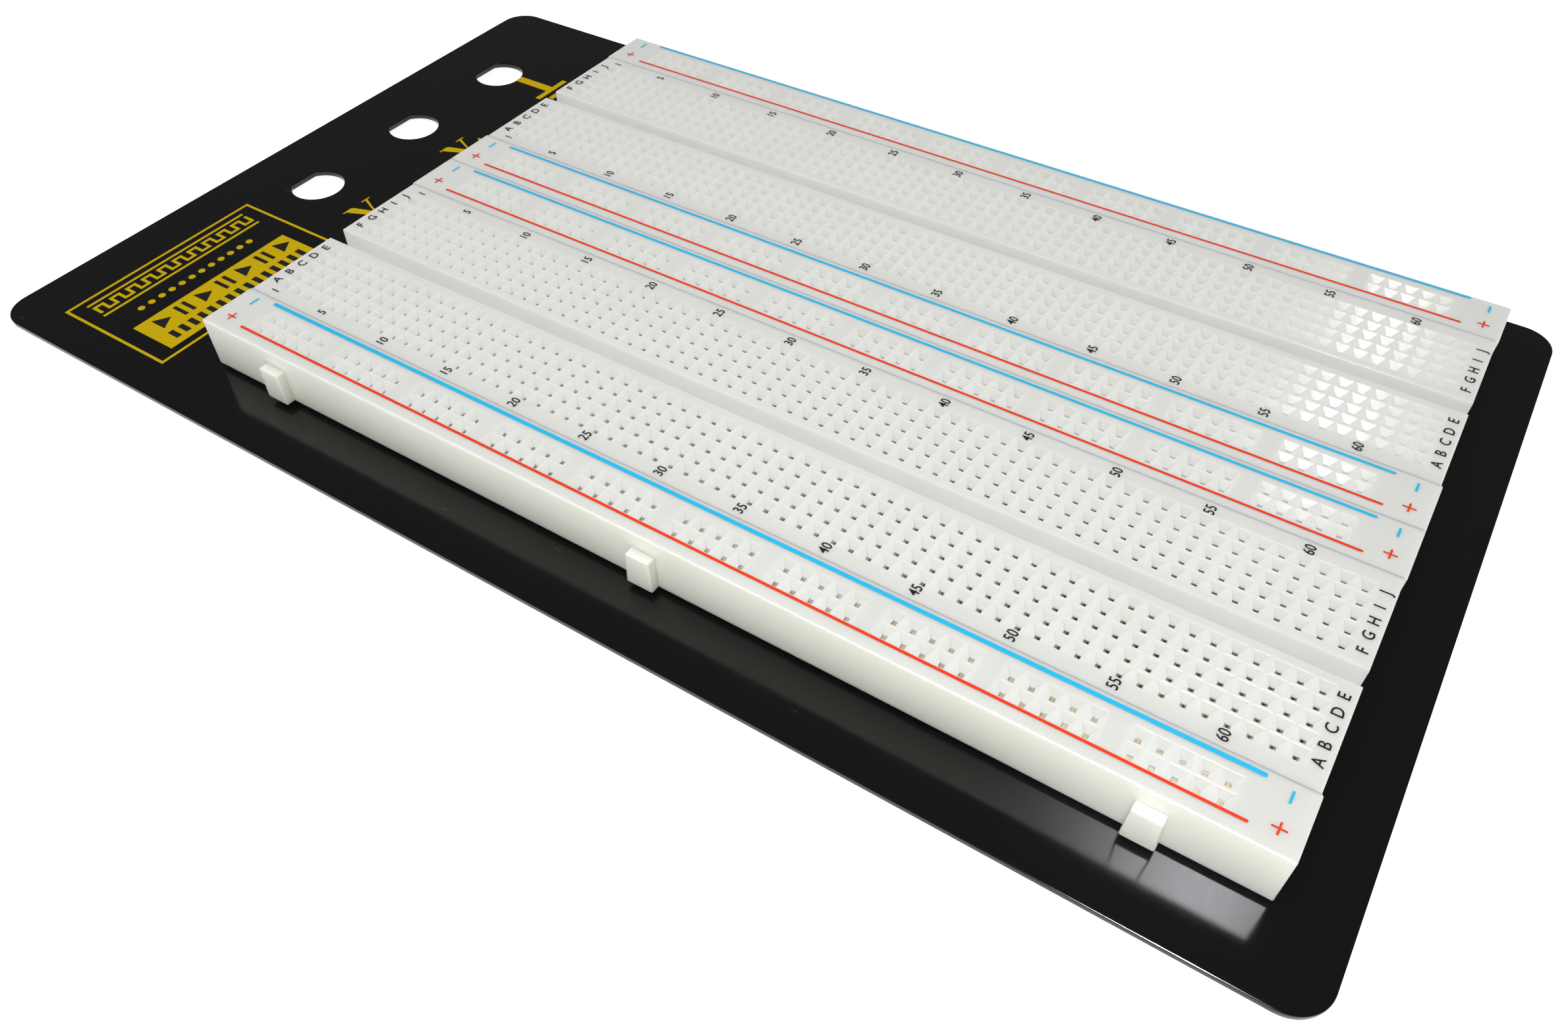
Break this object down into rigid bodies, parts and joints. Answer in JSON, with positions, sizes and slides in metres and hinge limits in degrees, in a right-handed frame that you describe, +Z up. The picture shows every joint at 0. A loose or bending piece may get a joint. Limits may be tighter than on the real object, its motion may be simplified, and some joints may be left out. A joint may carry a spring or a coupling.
{
  "type": "solderless breadboard",
  "caption": "White solderless breadboard of joined terminal and bus strips on a black base plate with D-shaped post holes and rubber feet.",
  "frame": {"origin": "middle of the base plate's outline, at the level the feet stand on", "axes": "+X along the strips, from the post holes towards the plain end; +Y from the front bus strip to the rear one; +Z up"},
  "size_m": [0.216, 0.1302, 0.0131],
  "materials": {
    "plate_black": "high gloss",
    "rubber_black": "matte",
    "strip_white": "satin moulded",
    "contact_metal": "bright spring metal",
    "foam_white": "matte foam"
  },
  "bodies": {
    "root": {"base_plate": "plate_black", "foot_front_left": "rubber_black", "foot_front_right": "rubber_black", "foot_rear_left": "rubber_black", "foot_rear_right": "rubber_black", "terminal_strip_1": "strip_white", "terminal_strip_2": "strip_white", "bus_strip_1": "strip_white", "bus_strip_2": "strip_white", "bus_strip_3": "strip_white", "bus_strip_4": "strip_white", "positive_rail_1": "contact_metal", "negative_rail_1": "contact_metal", "positive_rail_2": "contact_metal", "negative_rail_2": "contact_metal", "positive_rail_3": "contact_metal", "negative_rail_3": "contact_metal", "positive_rail_4": "contact_metal", "negative_rail_4": "contact_metal", "foam_under_bus_strip_1": "foam_white", "foam_under_bus_strip_2": "foam_white", "foam_under_bus_strip_3": "foam_white", "foam_under_bus_strip_4": "foam_white", "foam_under_terminal_strip_1": "foam_white", "foam_under_terminal_strip_2": "foam_white"}
  },
  "joints": []
}
